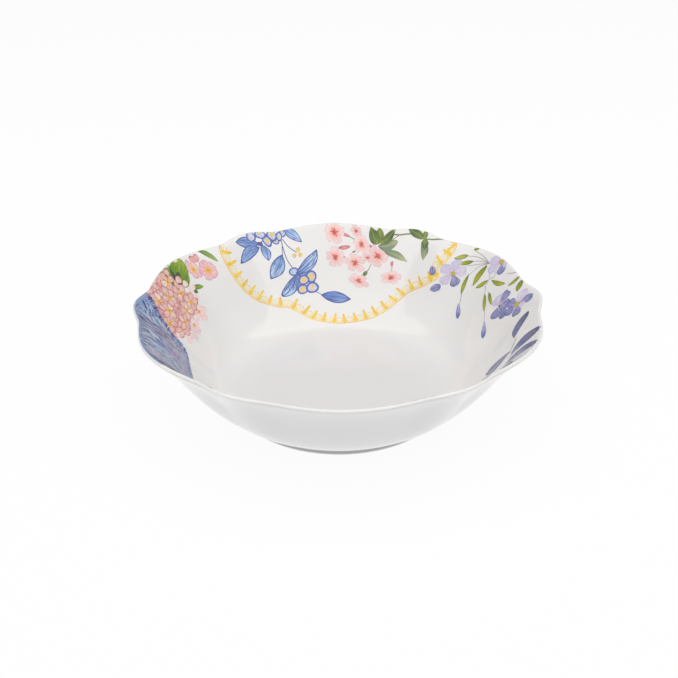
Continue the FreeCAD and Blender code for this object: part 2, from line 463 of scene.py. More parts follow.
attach(glazedBowl, "root")
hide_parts("glaze_coat")
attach(footedBody, "root")
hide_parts("porcelain_body")

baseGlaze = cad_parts["base_glaze"]
baseGlaze.data.materials.clear()
baseGlaze.data.materials.append(clearGlaze)


# ---- printing: a few stamps are cut once, then shaped and laid on the glaze ----

def cutDisc(name, segments, rings):
    clearSelection()
    bpy.ops.mesh.primitive_circle_add(vertices=segments, radius=1)
    stamp = bpy.context.object
    stamp.name = name
    bpy.ops.object.mode_set(mode="EDIT")
    bpy.ops.mesh.select_all(action="SELECT")
    for wide, narrow in zip(rings, rings[1:]):
        bpy.ops.mesh.extrude_region_move()
        bpy.ops.transform.resize(value=(narrow / wide, narrow / wide, 1), center_override=(0, 0, 0))
    bpy.ops.mesh.merge(type="CENTER")
    bpy.ops.object.mode_set(mode="OBJECT")
    return addPrintMap(stamp)


def cutStrip(name, steps, rows):
    clearSelection()
    bpy.ops.mesh.primitive_grid_add(x_subdivisions=steps, y_subdivisions=rows, size=2)
    stamp = bpy.context.object
    stamp.name = name
    return addPrintMap(stamp)


def addPrintMap(stamp):
    mesh = stamp.data
    makeActive(stamp)
    bpy.ops.object.mode_set(mode="EDIT")
    bpy.ops.mesh.select_all(action="SELECT")
    bpy.ops.mesh.normals_make_consistent(inside=False)
    bpy.ops.object.mode_set(mode="OBJECT")
    if mesh.polygons[0].normal.z < 0:
        mesh.flip_normals()
    while mesh.uv_layers:
        mesh.uv_layers.remove(mesh.uv_layers[0])
    layer = mesh.uv_layers.new(name="print")
    for loop in mesh.loops:
        x, y, _ = mesh.vertices[loop.vertex_index].co
        layer.data[loop.index].uv = (x / 2 + 0.5, y / 2 + 0.5)
    mesh.attributes.new("tone", "FLOAT", "FACE")
    bpy.ops.object.shade_smooth()
    return stamp


stamps = {
    "petal": cutDisc("petalStamp", 16, (1, 0.8, 0.4, 0.1)),
    "leaf": cutDisc("leafStamp", 28, (1, 0.85, 0.6, 0.3, 0.1)),
    "dot": cutDisc("dotStamp", 12, (1, 0.6, 0.1)),
    "ray": cutStrip("rayStamp", 6, 1),
    "line": cutStrip("lineStamp", 40, 1),
    "border": cutStrip("borderStamp", 160, 1),
    "field": cutStrip("fieldStamp", 70, 60),
}
stampShape = {key: np.array([v.co[:2] for v in stamp.data.vertices]) for key, stamp in stamps.items()}
print("stamps cut:", ", ".join(stamps))


def place(local, at, heading=0.0):
    # local millimetres, to the right and up as seen from the middle of the bowl, to places on the chart
    a = math.radians(heading)
    right = local[:, 0] * math.cos(a) - local[:, 1] * math.sin(a)
    down = at[1] - local[:, 0] * math.sin(a) - local[:, 1] * math.cos(a)
    return np.column_stack((at[0] - np.degrees(right / radiusAt(down)), down))


def between(start, end):                  # length in millimetres and heading from one place to another
    right = math.radians(start[0] - end[0]) * radiusAt(end[1])
    up = start[1] - end[1]
    return math.hypot(right, up), math.degrees(math.atan2(up, right))


def uneven(shape, amount, seed):          # a hand-drawn outline, swollen a little here and there
    turn = np.arctan2(shape[:, 1], shape[:, 0])
    swell = np.sin(3 * turn + seed) + 0.6 * np.sin(5 * turn + 2.3 * seed)
    return shape * (1 + amount * swell * (shape ** 2).sum(axis=1))[:, None]


def addMark(sheet, stamp, places, paint, tone=None, layer=None):
    if stamp != "field":                  # only the ground of the lace goes right over the lip
        places[:, 1] = np.maximum(places[:, 1], -printing["markOverLip"])
    sheet.append({"stamp": stamp, "places": places, "paint": paint, "layer": layer,
                  "tone": random.random() if tone is None else tone})


def leaf(sheet, start, end, width, paint, point=1.0, belly=0.0, bend=0.0, tone=None, rough=0.0, layer=None):
    length, heading = between(start, end)
    x, y = uneven(stampShape["leaf"], rough, random.uniform(0, 6)).T
    t = (x + 1) / 2
    across = y * width / 2 * np.maximum(1 - x * x, 0) ** (point / 2) * (1 - belly * x)
    across += 4 * bend * width * (t - t * t)
    addMark(sheet, "leaf", place(np.column_stack((t * length, across)), start, heading), paint, tone, layer)


def petal(sheet, at, heading, length, width, paint, waist=0.5, notch=0.0, squash=(1, 0), start=0.08,
          tone=None, rough=0.03):
    x, y = uneven(stampShape["petal"], rough, random.uniform(0, 6)).T
    t = (x + 1) / 2
    along = (start + (1 - start) * t) * length
    along -= notch * length * np.exp(-(y / 0.3) ** 2) * np.clip(x, 0, 1) ** 2
    across = y * width / 2 * (waist + (1 - waist) * np.sin(np.pi / 2 * np.clip(t, 0, 1)))
    a, lean = math.radians(heading), math.radians(squash[1])
    turned = np.column_stack((along * math.cos(a - lean) - across * math.sin(a - lean),
                              along * math.sin(a - lean) + across * math.cos(a - lean)))
    turned[:, 0] *= squash[0]
    addMark(sheet, "petal", place(turned, at, squash[1]), paint, tone)


def dot(sheet, at, width, paint, height=None, heading=0, tone=None, rough=0.05, layer=None):
    shape = uneven(stampShape["dot"], rough, random.uniform(0, 6)) * ((width / 2, (height or width) / 2),)
    addMark(sheet, "dot", place(shape, at, heading), paint, tone, layer)


def runAlong(line):                       # millimetres from the start of a line of places to each of them
    step = np.diff(line, axis=0)
    sideways = np.radians(step[:, 0]) * radiusAt(line[1:, 1])
    return np.concatenate(([0], np.cumsum(np.hypot(sideways, step[:, 1]))))


def atRun(line, run, stops):              # the places at these lengths along the line
    return np.column_stack([np.interp(stops, run, line[:, k]) for k in (0, 1)])


def throughPlaces(path, amount):          # a smooth line through the places, in even steps, and its length
    path = np.array(path, float)
    ends = np.vstack((2 * path[0] - path[1], path, 2 * path[-1] - path[-2]))
    fine = []
    for p0, p1, p2, p3 in zip(ends, ends[1:], ends[2:], ends[3:]):
        t = np.linspace(0, 1, 24, endpoint=False)[:, None]
        fine.append(0.5 * (2 * p1 + (p2 - p0) * t + (2 * p0 - 5 * p1 + 4 * p2 - p3) * t ** 2
                           + (3 * p1 - p0 - 3 * p2 + p3) * t ** 3))
    fine = np.vstack(fine + [path[-1:]])
    run = runAlong(fine)
    return atRun(fine, run, np.linspace(0, run[-1], amount)), run[-1]


def beside(path, offset):                 # the same line, moved to its left by some millimetres
    slope = np.gradient(path, axis=0)
    r = radiusAt(path[:, 1])
    right, up = -np.radians(slope[:, 0]) * r, -slope[:, 1]
    length = np.maximum(np.hypot(right, up), 1e-9)
    return np.column_stack((path[:, 0] + np.degrees(up / length * offset / r),
                            path[:, 1] - right / length * offset))


def stroke(sheet, path, width, paint, ends=(0.5, 0.5), stamp="line", layer=None, smooth=True):
    shape = stampShape[stamp]
    stops = np.unique(shape[:, 0].round(6))
    line = throughPlaces(path, len(stops))[0] if smooth else np.array(path)
    t = (stops + 1) / 2
    half = width / 2 * np.minimum(1, np.minimum(ends[0] + t * 6, ends[1] + (1 - t) * 6))
    index = np.searchsorted(stops, shape[:, 0].round(6))
    low, high = beside(line, -half)[index], beside(line, half)[index]
    places = low + (high - low) * ((shape[:, 1] + 1) / 2)[:, None]
    addMark(sheet, stamp, places, paint, layer=layer)


def pressSheet(name, sheet, node):
    # marks that lie over one another are stacked, the first drawn lowest
    stack = []
    for mark in sheet:
        middle = mark["places"].mean(axis=0)
        away = (mark["places"] - middle) * (math.radians(1) * radiusAt(middle[1]), 1)
        reach = np.hypot(*away.T).max()
        if mark["layer"] is None:
            under = [level for other, size, level in stack
                     if math.hypot(math.radians(other[0] - middle[0]) * radiusAt(middle[1]),
                                   other[1] - middle[1]) < (reach + size) * 0.75]
            mark["layer"] = max(under, default=0) + 1
            stack.append((middle, reach, mark["layer"]))
    clearSelection()
    copies = []
    for mark in sheet:
        copy = stamps[mark["stamp"]].copy()
        copy.data = copy.data.copy()
        bpy.context.scene.collection.objects.link(copy)
        lift = printing["lift"] + printing["step"] * mark["layer"]
        copy.data.vertices.foreach_set("co", onGlaze(mark["places"], lift).ravel())
        copy.data.attributes["tone"].data.foreach_set("value", [mark["tone"]] * len(copy.data.polygons))
        copy.data.materials.append(mark["paint"])
        copies.append(copy)
    for copy in copies:
        copy.select_set(True)
    bpy.context.view_layer.objects.active = copies[0]
    bpy.ops.object.join()
    piece = bpy.context.object
    piece.name = piece.data.name = name
    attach(piece, "root")
    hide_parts(node)
    print(name, "printed:", len(copies), "marks,", max(m["layer"] for m in sheet), "deep")


# ---- enamel colours ----

def ink(red, green, blue):                # mixed a little stronger, as the gloss lays a pale veil on it
    return tuple(min(0.9, max(0.003, 1.1 * c ** 1.2 - 0.012)) for c in rgb(red, green, blue))


def enamel(name, ramp, edge=None, vein=None, streak=0.0, shade=None, grain=0.12, radial=False):
    # ramp runs along the stamp, or from its middle outwards, as (place, colour)
    # edge is (start, amount, colour) and vein is (width, amount, colour)
    # shade is (amount, colour), for marks of high tone
    material, tree, shader = newMaterial(name, glazeLook["rough"], glazeLook["coat"],
                                         glazeLook["coatRough"])
    uv = addNode(tree, "ShaderNodeUVMap", uv_map="print").outputs[0]
    centred = addNode(tree, "ShaderNodeVectorMath", operation="MULTIPLY_ADD")
    tree.links.new(uv, centred.inputs[0])
    centred.inputs[1].default_value = (2, 2, 0)
    centred.inputs[2].default_value = (-1, -1, 0)
    parts = addNode(tree, "ShaderNodeSeparateXYZ")
    tree.links.new(centred.outputs[0], parts.inputs[0])
    place = addNode(tree, "ShaderNodeTexCoord").outputs["Object"]
    tone = addNode(tree, "ShaderNodeAttribute", attribute_name="tone").outputs["Fac"]
    wash = noise(tree, place, 420, 3)
    outwards = addNode(tree, "ShaderNodeVectorMath", operation="LENGTH")
    tree.links.new(centred.outputs[0], outwards.inputs[0])
    outwards = outwards.outputs["Value"]
    along = outwards if radial else mathNode(tree, "MULTIPLY_ADD", parts.outputs["X"], 0.5, 0.5)
    # the wash wanders a little, so a ramp never ends in a straight line
    wandering = mathNode(tree, "ADD", along, mathNode(tree, "MULTIPLY_ADD", wash, 0.24, -0.12))
    ramped = addNode(tree, "ShaderNodeValToRGB")
    tree.links.new(wandering, ramped.inputs[0])
    ramped.color_ramp.interpolation = "EASE"
    stops = ramped.color_ramp.elements
    for k, (position, colour) in enumerate(ramp):
        stop = stops[k] if k < 2 else stops.new(position)
        stop.position, stop.color = position, (*ink(*colour), 1)
    if len(ramp) == 1:
        stops.remove(stops[1])
    colour = ramped.outputs[0]
    if shade:
        colour = mixColours(tree, mathNode(tree, "MULTIPLY", tone, shade[0]), colour, ink(*shade[1]))
    if streak:
        # brush streaks that run with the stamp
        stretched = addNode(tree, "ShaderNodeCombineXYZ")
        tree.links.new(mathNode(tree, "MULTIPLY", parts.outputs["X"], 0.8), stretched.inputs[0])
        tree.links.new(mathNode(tree, "MULTIPLY", parts.outputs["Y"], 2.4), stretched.inputs[1])
        tree.links.new(mathNode(tree, "MULTIPLY", tone, 43), stretched.inputs[2])
        fine = smoothStep(tree, noise(tree, stretched.outputs[0], 1.7, 3), 0.42, 0.66)
        deep = ink(*(edge[2] if edge else ramp[0][1]))
        colour = mixColours(tree, mathNode(tree, "MULTIPLY", fine, streak), colour, deep)
    if vein:
        line = smoothStep(tree, mathNode(tree, "ABSOLUTE", parts.outputs["Y"]), vein[0], vein[0] * 0.35)
        line = mathNode(tree, "MULTIPLY", line, smoothStep(tree, along, 0.97, 0.7))
        colour = mixColours(tree, mathNode(tree, "MULTIPLY", line, vein[1]), colour, ink(*vein[2]))
    if edge:
        rimmed = mathNode(tree, "ADD", outwards, mathNode(tree, "MULTIPLY_ADD", wash, 0.16, -0.08))
        line = smoothStep(tree, rimmed, edge[0], edge[0] + 0.14)
        colour = mixColours(tree, mathNode(tree, "MULTIPLY", line, edge[1]), colour, ink(*edge[2]))
    mottle = noise(tree, place, 1500, 2)
    colour = mixColours(tree, mathNode(tree, "MULTIPLY", mottle, grain), colour, glazeLook["white"])
    tree.links.new(colour, shader.inputs["Base Color"])
    addRipple(tree, place, shader)
    return material


# ---- back medallion: the gold border ----

goldPaint = enamel("goldEnamel", [(0, (234, 190, 30)), (0.5, (246, 214, 66)), (1, (238, 196, 46))],
                   shade=(0.5, (216, 166, 26)), grain=0.06)
goldPale = enamel("goldPale", [(0, (246, 218, 96)), (1, (244, 210, 84))], shade=(0.5, (250, 226, 140)),
                  grain=0.12)

border = {
    "arcs": (((131, -1.2), (132.2, 3.5), (132.5, 9), (132.2, 17), (131.2, 26), (129, 35.5), (125.4, 45),
              (121, 51.5), (116.5, 55), (112.6, 55.8)),
             ((112.6, 55.8), (108, 60.5), (104.5, 65.5), (100, 70), (93, 73.5), (85.5, 74.5), (76.5, 71),
              (69, 65.5), (63, 57.5), (59.5, 50.5), (56.5, 42.5)),
             ((56.5, 42.5), (52.2, 35.5), (48.4, 29), (45.6, 23.5), (47.4, 17.5)),
             ((47.4, 17.5), (45.4, 12), (44.2, 5.5), (44.6, 0.5), (46.5, -1.4))),
    "spikes": (8, 12, 4, 3),
    "line": 0.7, "innerLine": 0.35, "arch": 4.9, "archWidth": 0.5, "spike": 9.0,
}


def goldBorder(sheet):
    arcs = [throughPlaces(arc, 240) for arc in border["arcs"]]
    line = np.vstack([places for places, _ in arcs])
    feet, start = [], 0.0
    for (places, length), count in zip(arcs, border["spikes"]):
        feet += [start + length * (k + 0.5) / count for k in range(count)]
        start += length
    run = runAlong(line)

    def along(stops, offset):
        # places beside the line at these lengths along it
        at = atRun(line, run, stops)
        way = atRun(line, run, stops + 0.8) - atRun(line, run, stops - 0.8)
        r = radiusAt(at[:, 1])
        right, up = -np.radians(way[:, 0]) * r, -way[:, 1]
        length = np.hypot(right, up)
        return np.column_stack((at[:, 0] + np.degrees(up / length * offset / r),
                                at[:, 1] - right / length * offset))

    def spot(stop, offset):
        return along(np.array([stop]), offset)[0]

    total = run[-1]
    for offset, width in ((0.0, border["line"]), (1.15, border["innerLine"])):
        for part in range(4):
            stops = np.linspace(total * part / 4, total * (part + 1) / 4, 161)
            path = along(stops, np.full(161, offset))
            stroke(sheet, path, width, goldPaint, (1, 1), "border", layer=0, smooth=False)
    u = np.linspace(0, 1, 15)
    edges = [feet[0] - (feet[1] - feet[0])] + feet + [feet[-1] + (feet[-1] - feet[-2])]
    for left, right in zip(edges, edges[1:]):
        for size, width, paint in ((1.0, border["archWidth"], goldPaint), (0.58, 0.5, goldPale)):
            spread = 0.5 + (u - 0.5) * (0.98 if size == 1 else 0.52)
            stops = left + (right - left) * spread
            height = 0.4 + border["arch"] * size * np.sqrt(np.maximum(0, 1 - (2 * u - 1) ** 2))
            keep = (stops > 0) & (stops < total)
            if keep.sum() > 4:
                stroke(sheet, along(stops, height)[keep], width, paint, (0.6, 0.6), layer=1)
        middle = (left + right) / 2
        if 0 < middle < total:
            dot(sheet, spot(middle, 1.6), 0.9, goldPale, rough=0)
    for k, foot in enumerate(feet):
        tall = border["spike"] * (1 + 0.06 * math.sin(1.7 * k))
        leaf(sheet, spot(foot, 0.3), spot(foot + 0.25 * math.sin(k), tall), 1.8, goldPaint, point=0.5,
             belly=-0.35, layer=2)
        for side in (-1, 1):
            leaf(sheet, spot(foot + side * 0.3, 0.8), spot(foot + side * 2.2, 2.9), 1.0, goldPaint,
                 point=0.5, bend=side * 0.2, layer=3)


# ---- back medallion: the blue branch with its winged berries ----

blueWash = enamel("blueWash",
                  [(0, (96, 132, 194)), (0.35, (156, 188, 226)), (0.8, (190, 212, 236)),
                   (1, (126, 158, 208))],
                  edge=(0.76, 0.9, (52, 80, 152)), vein=(0.12, 0.8, (72, 104, 172)), streak=0.85,
                  shade=(0.75, (88, 128, 196)))
bluePale = enamel("bluePale", [(0, (214, 216, 238)), (1, (196, 208, 238))],
                  edge=(0.62, 0.95, (60, 82, 164)), streak=0.3, shade=(0.5, (158, 186, 226)), radial=True)
bluePen = enamel("bluePen", [(0, (44, 64, 138)), (1, (70, 94, 166))], grain=0.08)
yolkPaint = enamel("yolk", [(0, (240, 196, 66)), (1, (228, 188, 76))], edge=(0.72, 0.5, (214, 196, 140)),
                   shade=(0.6, (212, 196, 116)), radial=True)


def blueBranch(sheet):
    for path, width in ((((108.5, 3.5), (108.6, 10), (108, 18.5), (106.3, 25.5)), 0.6),
                        (((108.8, 9), (109.2, 12.5), (109.5, 16)), 0.5),
                        (((108.2, 4), (106.4, 10), (103.6, 15)), 0.5),
                        (((101, 45), (98, 47.5), (95, 51)), 0.5),
                        (((116.2, 6.5), (114, 4), (109, 3)), 0.6)):
        stroke(sheet, path, width, bluePen)
    for start, end, width, bend, tone in (
            ((116.6, 7.0), (124.8, 1.8), 7.0, 0.05, 0.9), ((116.8, 9.0), (126.6, 15.0), 8.0, -0.1, 0.6),
            ((116.0, 7.0), (115.2, 18.4), 6.6, 0.15, 0.45), ((109.6, 14.0), (116.6, 32.2), 9.6, 0.12, 0.05),
            ((107.4, -1.5), (101.0, 9.0), 6.4, 0.16, 0.1), ((95.8, 50.8), (82.0, 54.4), 9.0, -0.05, 1.0)):
        leaf(sheet, start, end, width, blueWash, point=0.9, belly=0.1, bend=bend, tone=tone, rough=0.02)
    # the rim cluster: rounded petals, each with a yellow spot
    for at, width, height, turn in (((110.6, 4.8), 6.0, 5.0, 10), ((107.4, 0.8), 4.8, 5.4, 0),
                                    ((118.6, 2.0), 7.0, 6.6, 20),
                                    ((113.6, 5.0), 6.4, 8.0, 20), ((115.2, 0.8), 8.4, 6.0, 0),
                                    ((109.0, 2.6), 4.6, 6.0, -20),
                                    ((111.4, 1.2), 7.6, 8.4, 0)):
        dot(sheet, at, width, bluePale, height, turn, tone=0.6)
        dot(sheet, (at[0], at[1] - 0.2), width * 0.4, yolkPaint, height * 0.44, turn, tone=0.8)
    dot(sheet, (116.4, 6.8), 4.2, bluePen, 2.8)
    for at in ((103.0, 13.0), (102.5, 16.8), (104.8, 16.6)):
        dot(sheet, at, 3.2, yolkPaint, tone=0.9, rough=0.08)
    # the winged part
    for start, end, width, bend, tone in (
            ((105.0, 31.0), (98.9, 27.0), 7.0, -0.1, 0.35), ((105.6, 30.0), (95.9, 15.4), 9.0, -0.3, 0.1),
            ((105.4, 31.5), (108.6, 46.0), 8.0, -0.1, 0.3), ((106.0, 31.0), (114.0, 47.2), 9.4, 0.25, 0.15),
            ((105.2, 30.5), (105.2, 42.0), 6.2, 0.0, 0.9)):
        leaf(sheet, start, end, width, blueWash, point=0.6, belly=0.05, bend=bend, tone=tone, rough=0.04)
    for path in (((105, 28.5), (100.6, 22.5), (96.6, 18)), ((104, 29.5), (101, 26.0), (97.6, 22)),
                 ((106, 33), (109.5, 38.5), (112.8, 44.5)), ((105.5, 33), (107.2, 38), (108.2, 43)),
                 ((107, 33), (111, 40), (113.2, 43)), ((103.5, 31), (101.2, 28.5), (99.5, 27))):
        stroke(sheet, path, 0.5, bluePen)
    for at, width, height in (((99.2, 34.6), 7.8, 10.4), ((102.6, 36.2), 8.4, 8.4),
                              ((103.6, 43.6), 9.0, 8.4), ((99.3, 43.6), 9.8, 9.6)):
        dot(sheet, at, width, bluePale, height, tone=0.2, rough=0.03)
        dot(sheet, at, width * 0.52, yolkPaint, height * 0.5, tone=0.1)
    dot(sheet, (106.3, 28.0), 7.6, bluePale, 6.8, tone=1.0, rough=0.03)


# ---- back medallion: the phlox spray and the trailing vine ----

phloxPetal = enamel("phloxPetal",
                    [(0, (228, 112, 90)), (0.16, (236, 156, 142)), (0.34, (238, 196, 190)),
                     (0.72, (238, 216, 214)), (1, (226, 204, 204))],
                    edge=(0.80, 0.45, (216, 188, 190)), streak=0.55, shade=(0.6, (222, 182, 186)),
                    grain=0.15)
phloxHeart = enamel("phloxHeart", [(0, (176, 36, 26)), (0.4, (206, 76, 58)), (1, (236, 158, 140))],
                    shade=(0.4, (150, 40, 34)), radial=True)
heartRay = enamel("heartRay", [(0, (182, 48, 40)), (0.6, (216, 96, 84)), (1, (236, 160, 152))],
                  shade=(0.4, (160, 50, 44)))
budPink = enamel("budPink", [(0, (214, 120, 124)), (0.5, (228, 156, 158)), (1, (140, 84, 84))],
                 edge=(0.68, 0.6, (178, 92, 98)), streak=0.5, shade=(0.4, (206, 120, 124)))
deepLeaf = enamel("deepLeaf",
                  [(0, (170, 180, 60)), (0.2, (112, 134, 22)), (0.7, (82, 108, 10)), (1, (130, 150, 36))],
                  edge=(0.82, 0.5, (58, 84, 18)), vein=(0.10, 0.6, (168, 180, 70)), streak=0.75,
                  shade=(0.6, (150, 164, 46)), grain=0.05)
greyLeaf = enamel("greyLeaf", [(0, (88, 108, 76)), (0.45, (142, 156, 124)), (1, (206, 206, 156))],
                  edge=(0.82, 0.5, (104, 120, 96)), vein=(0.10, 0.6, (200, 204, 164)), streak=0.45,
                  shade=(0.5, (118, 136, 112)), grain=0.08)
vineGreen = enamel("vineGreen", [(0, (98, 122, 50)), (1, (128, 146, 72))], grain=0.08)


def phloxFlower(sheet, at, radius, turn, squash=(1, 0), petals=5, tone=0.3):
    radius *= 1.1
    for k in sorted(range(petals), key=lambda k: (k * 2) % petals):
        petal(sheet, at, turn + 360 * k / petals + random.uniform(-5, 5),
              radius * random.uniform(0.94, 1.06),
              radius * random.uniform(0.88, 1.04), phloxPetal, waist=0.3, notch=0.1, squash=squash,
              tone=min(1, max(0, tone + random.uniform(-0.4, 0.4))), rough=0.08)
    dot(sheet, at, radius * random.uniform(0.4, 0.56), phloxHeart,
        radius * random.uniform(0.34, 0.5) * squash[0], random.uniform(0, 180), tone=0.3, rough=0.25)
    for k in range(petals + 2):
        petal(sheet, at, turn + 360 * k / (petals + 2) + random.uniform(-20, 20),
              radius * random.uniform(0.26, 0.5), radius * random.uniform(0.07, 0.12), heartRay,
              waist=0.8, squash=squash, tone=random.random())
    dot(sheet, at, radius * 0.2, heartRay, radius * 0.18 * squash[0], squash[1], tone=1)


def phloxSpray(sheet):
    for start, end, width in (((87.7, 4.6), (83.3, 7.4), 2.0), ((87.8, 15.2), (83.3, 13.6), 3.0),
                              ((87.8, 20.2), (85.0, 21.4), 1.8), ((76.2, 10.8), (73.9, 13.4), 2.2),
                              ((66.5, 20.4), (66.1, 24.5), 2.2)):
        leaf(sheet, end, start, width, budPink, point=0.5, belly=-0.1, bend=0.1)
    for path, paint in ((((83.6, 7.4), (82.0, 8.6), (80.2, 9.2)), vineGreen),
                        (((76.5, 31.5), (75.4, 28), (74.6, 23.5)), vineGreen),
                        (((66.2, 24), (66.0, 27), (65.8, 31)), budPink),
                        (((85.2, 21.4), (84.0, 22.4)), budPink)):
        stroke(sheet, path, 0.5, paint)
    leaf(sheet, (75.9, 29.5), (77.6, 34.2), 2.8, deepLeaf, point=0.4, tone=0.2)
    leaf(sheet, (82.6, 17.6), (81.2, 16.2), 1.2, deepLeaf, tone=0.4)
    for at, radius, turn, squash, tone in (
            ((81.5, 3.4), 4.6, 40, (0.7, 70), 0.9), ((89.1, 5.0), 7.0, 80, (1, 0), 0.25),
            ((79.2, 11.4), 6.2, 15, (0.9, 20), 0.3), ((72.4, 17.4), 7.8, 62, (1, 0), 0.75),
            ((76.3, 19.6), 4.2, 20, (0.75, 80), 1.0), ((89.0, 21.6), 7.2, 100, (0.9, 0), 0.35),
            ((81.2, 24.6), 7.6, 30, (0.85, 60), 0.45), ((79.2, 38.4), 7.4, 50, (0.72, 70), 0.6),
            ((65.6, 33.2), 7.4, 12, (0.7, 80), 0.25)):
        phloxFlower(sheet, at, radius, turn, squash, tone=tone)


def trailingVine(sheet):
    stroke(sheet, ((71.6, 4.5), (68.5, 2.6), (66, 3.0), (62.5, 2.4), (59.5, 2.4), (57, 3.4), (54.5, 2.4),
                   (51.5, 0.2), (48.8, -1.4)),
           0.8, vineGreen, (0.6, 0.1))
    stroke(sheet, ((66, 3), (67.4, 5.0), (69.2, 7.4)), 0.5, vineGreen)
    for start, end, width, paint, bend, tone in (
            ((70.4, 12.8), (60.6, 20.8), 4.8, greyLeaf, 0.12, 0.2),
            ((72.8, 10.8), (65.8, 7.0), 7.6, greyLeaf, -0.1, 0.9),
            ((72.6, 9.0), (73.4, -1.2), 6.4, deepLeaf, 0.0, 1.0),
            ((72.8, 9.6), (76.6, -0.4), 7.4, deepLeaf, 0.08, 0.15),
            ((72.2, 8.8), (67.8, -1.4), 5.8, deepLeaf, -0.15, 0.1),
            ((56.8, 3.8), (57.6, -1.4), 4.2, deepLeaf, 0.0, 1.0),
            ((57.0, 3.6), (63.6, -0.8), 5.0, deepLeaf, 0.1, 0.1),
            ((56.8, 4.6), (54.6, 16.2), 6.2, greyLeaf, 0.12, 0.5),
            ((57.0, 3.6), (55.6, 9.6), 5.8, deepLeaf, 0.1, 0.2)):
        leaf(sheet, start, end, width, paint, point=0.8, belly=0.2, bend=bend, tone=tone, rough=0.05)


# ---- left wall: hydrangea, leaves, the pink pair ----

hydrangeaPetal = enamel("hydrangeaPetal",
                        [(0, (242, 196, 130)), (0.16, (246, 222, 196)), (0.5, (243, 220, 212)),
                         (0.85, (236, 196, 192)), (1, (226, 166, 168))],
                        edge=(0.80, 0.85, (166, 82, 86)), streak=0.45, shade=(0.65, (226, 158, 160)),
                        grain=0.1)
hydrangeaPale = enamel("hydrangeaPale",
                       [(0, (246, 222, 204)), (0.5, (240, 224, 222)), (1, (236, 208, 210))],
                       edge=(0.80, 0.45, (216, 164, 168)), streak=0.3, shade=(0.4, (236, 190, 192)),
                       grain=0.25)
hydrangeaWash = enamel("hydrangeaWash",
                       [(0, (206, 138, 140)), (0.7, (226, 178, 176)), (1, (240, 212, 210))],
                       shade=(0.5, (190, 112, 118)), radial=True)
orangeHeart = enamel("orangeHeart", [(0, (206, 128, 30)), (0.4, (240, 178, 60)), (1, (246, 210, 120))],
                     shade=(0.4, (206, 110, 60)), radial=True)
pairPetal = enamel("pairPetal",
                   [(0, (244, 180, 70)), (0.3, (244, 206, 150)), (0.52, (236, 206, 208)),
                    (1, (226, 186, 200))],
                   edge=(0.78, 0.5, (196, 136, 164)), streak=0.5, shade=(0.5, (230, 168, 174)),
                   grain=0.15)
brightLeaf = enamel("brightLeaf",
                    [(0, (92, 126, 56)), (0.35, (122, 154, 62)), (0.7, (148, 172, 74)),
                     (1, (182, 194, 84))],
                    edge=(0.84, 0.6, (92, 124, 48)), vein=(0.05, 0.5, (186, 198, 104)), streak=0.5,
                    shade=(0.5, (108, 146, 56)), grain=0.05)
shadowInk = enamel("shadowInk", [(0, (36, 62, 56)), (1, (70, 104, 66))], grain=0.1)

hydrangea = {
    "head": ((171.5, 0.5), (164.5, -1.5), (158, 1.5), (155, 6), (152.5, 11), (151.3, 18), (151.3, 25),
             (154.5, 32), (155.5, 39), (163, 41.5), (169, 38.5), (176, 35.5), (179, 27), (177.5, 20),
             (175.5, 11), (173.5, 4.5)),
    "florets": ((171.5, 29.5), (155.0, 32.5), (163.0, 35.5), (171, 6.8), (175.2, 21.0), (170.4, 14.4),
                (164.5, 10.6), (159, 5.2), (157.3, 15.2), (155.6, 23.6), (167.0, 27.5), (161.0, 24.8)),
}


def inside(outline, at):
    crossings = 0
    for (a0, d0), (a1, d1) in zip(outline, outline[1:] + outline[:1]):
        if (d0 > at[1]) != (d1 > at[1]) and at[0] < a0 + (at[1] - d0) / (d1 - d0) * (a1 - a0):
            crossings += 1
    return crossings % 2 == 1


def floret(sheet, at, radius, turn, paint, heart, petals=5, squash=(1, 0), tone=0.4, width=0.72):
    for k in sorted(range(petals), key=lambda k: (k * 2) % petals):
        petal(sheet, at, turn + 360 * k / petals + random.uniform(-7, 7), radius * random.uniform(0.9, 1.1),
              radius * width * random.uniform(0.9, 1.1), paint, waist=0.5, notch=0.03, squash=squash,
              tone=min(1, max(0, tone + random.uniform(-0.4, 0.4))), rough=0.04)
    dot(sheet, at, radius * 0.46, heart, radius * 0.42, tone=0.2, rough=0.2)
    for k in range(petals):
        petal(sheet, at, turn + 360 * (k + 0.5) / petals, radius * 0.3, radius * 0.1, heart, waist=0.8,
              squash=squash, tone=1)
    dot(sheet, at, radius * 0.12, oliveLeaf, tone=1)


def hydrangeaHead(sheet):
    # loose petals fill the head, then the florets that face the front
    outline = hydrangea["head"]
    for row in range(10):
        for k in range(12):
            at = (150 + (k + 0.5 * (row % 2)) * 2.9 + random.uniform(-0.5, 0.5),
                  row * 4.6 + random.uniform(-1, 1))
            if inside(outline, at):
                faint = at[1] > 31 or at[0] < 155
                paint = hydrangeaPale if faint else hydrangeaPetal
                if not faint:
                    dot(sheet, at, 8.0, hydrangeaWash, layer=0)
                outward = (math.degrees(math.atan2(20 - at[1], (165 - at[0]) * 1.9))
                           + random.uniform(-60, 60))
                petal(sheet, at, outward, random.uniform(5.8, 7.8), random.uniform(4.2, 5.4), paint,
                      waist=0.6, tone=random.uniform(0.1, 0.9))
    for k, at in enumerate(hydrangea["florets"]):
        size, paint = (6.6, hydrangeaPale) if at[1] > 31 else (8.2, hydrangeaPetal)
        floret(sheet, at, size, 37 * k, paint, orangeHeart, 4 if k % 3 else 5, (0.86, 90),
               tone=0.35 if k % 2 else 0.55)


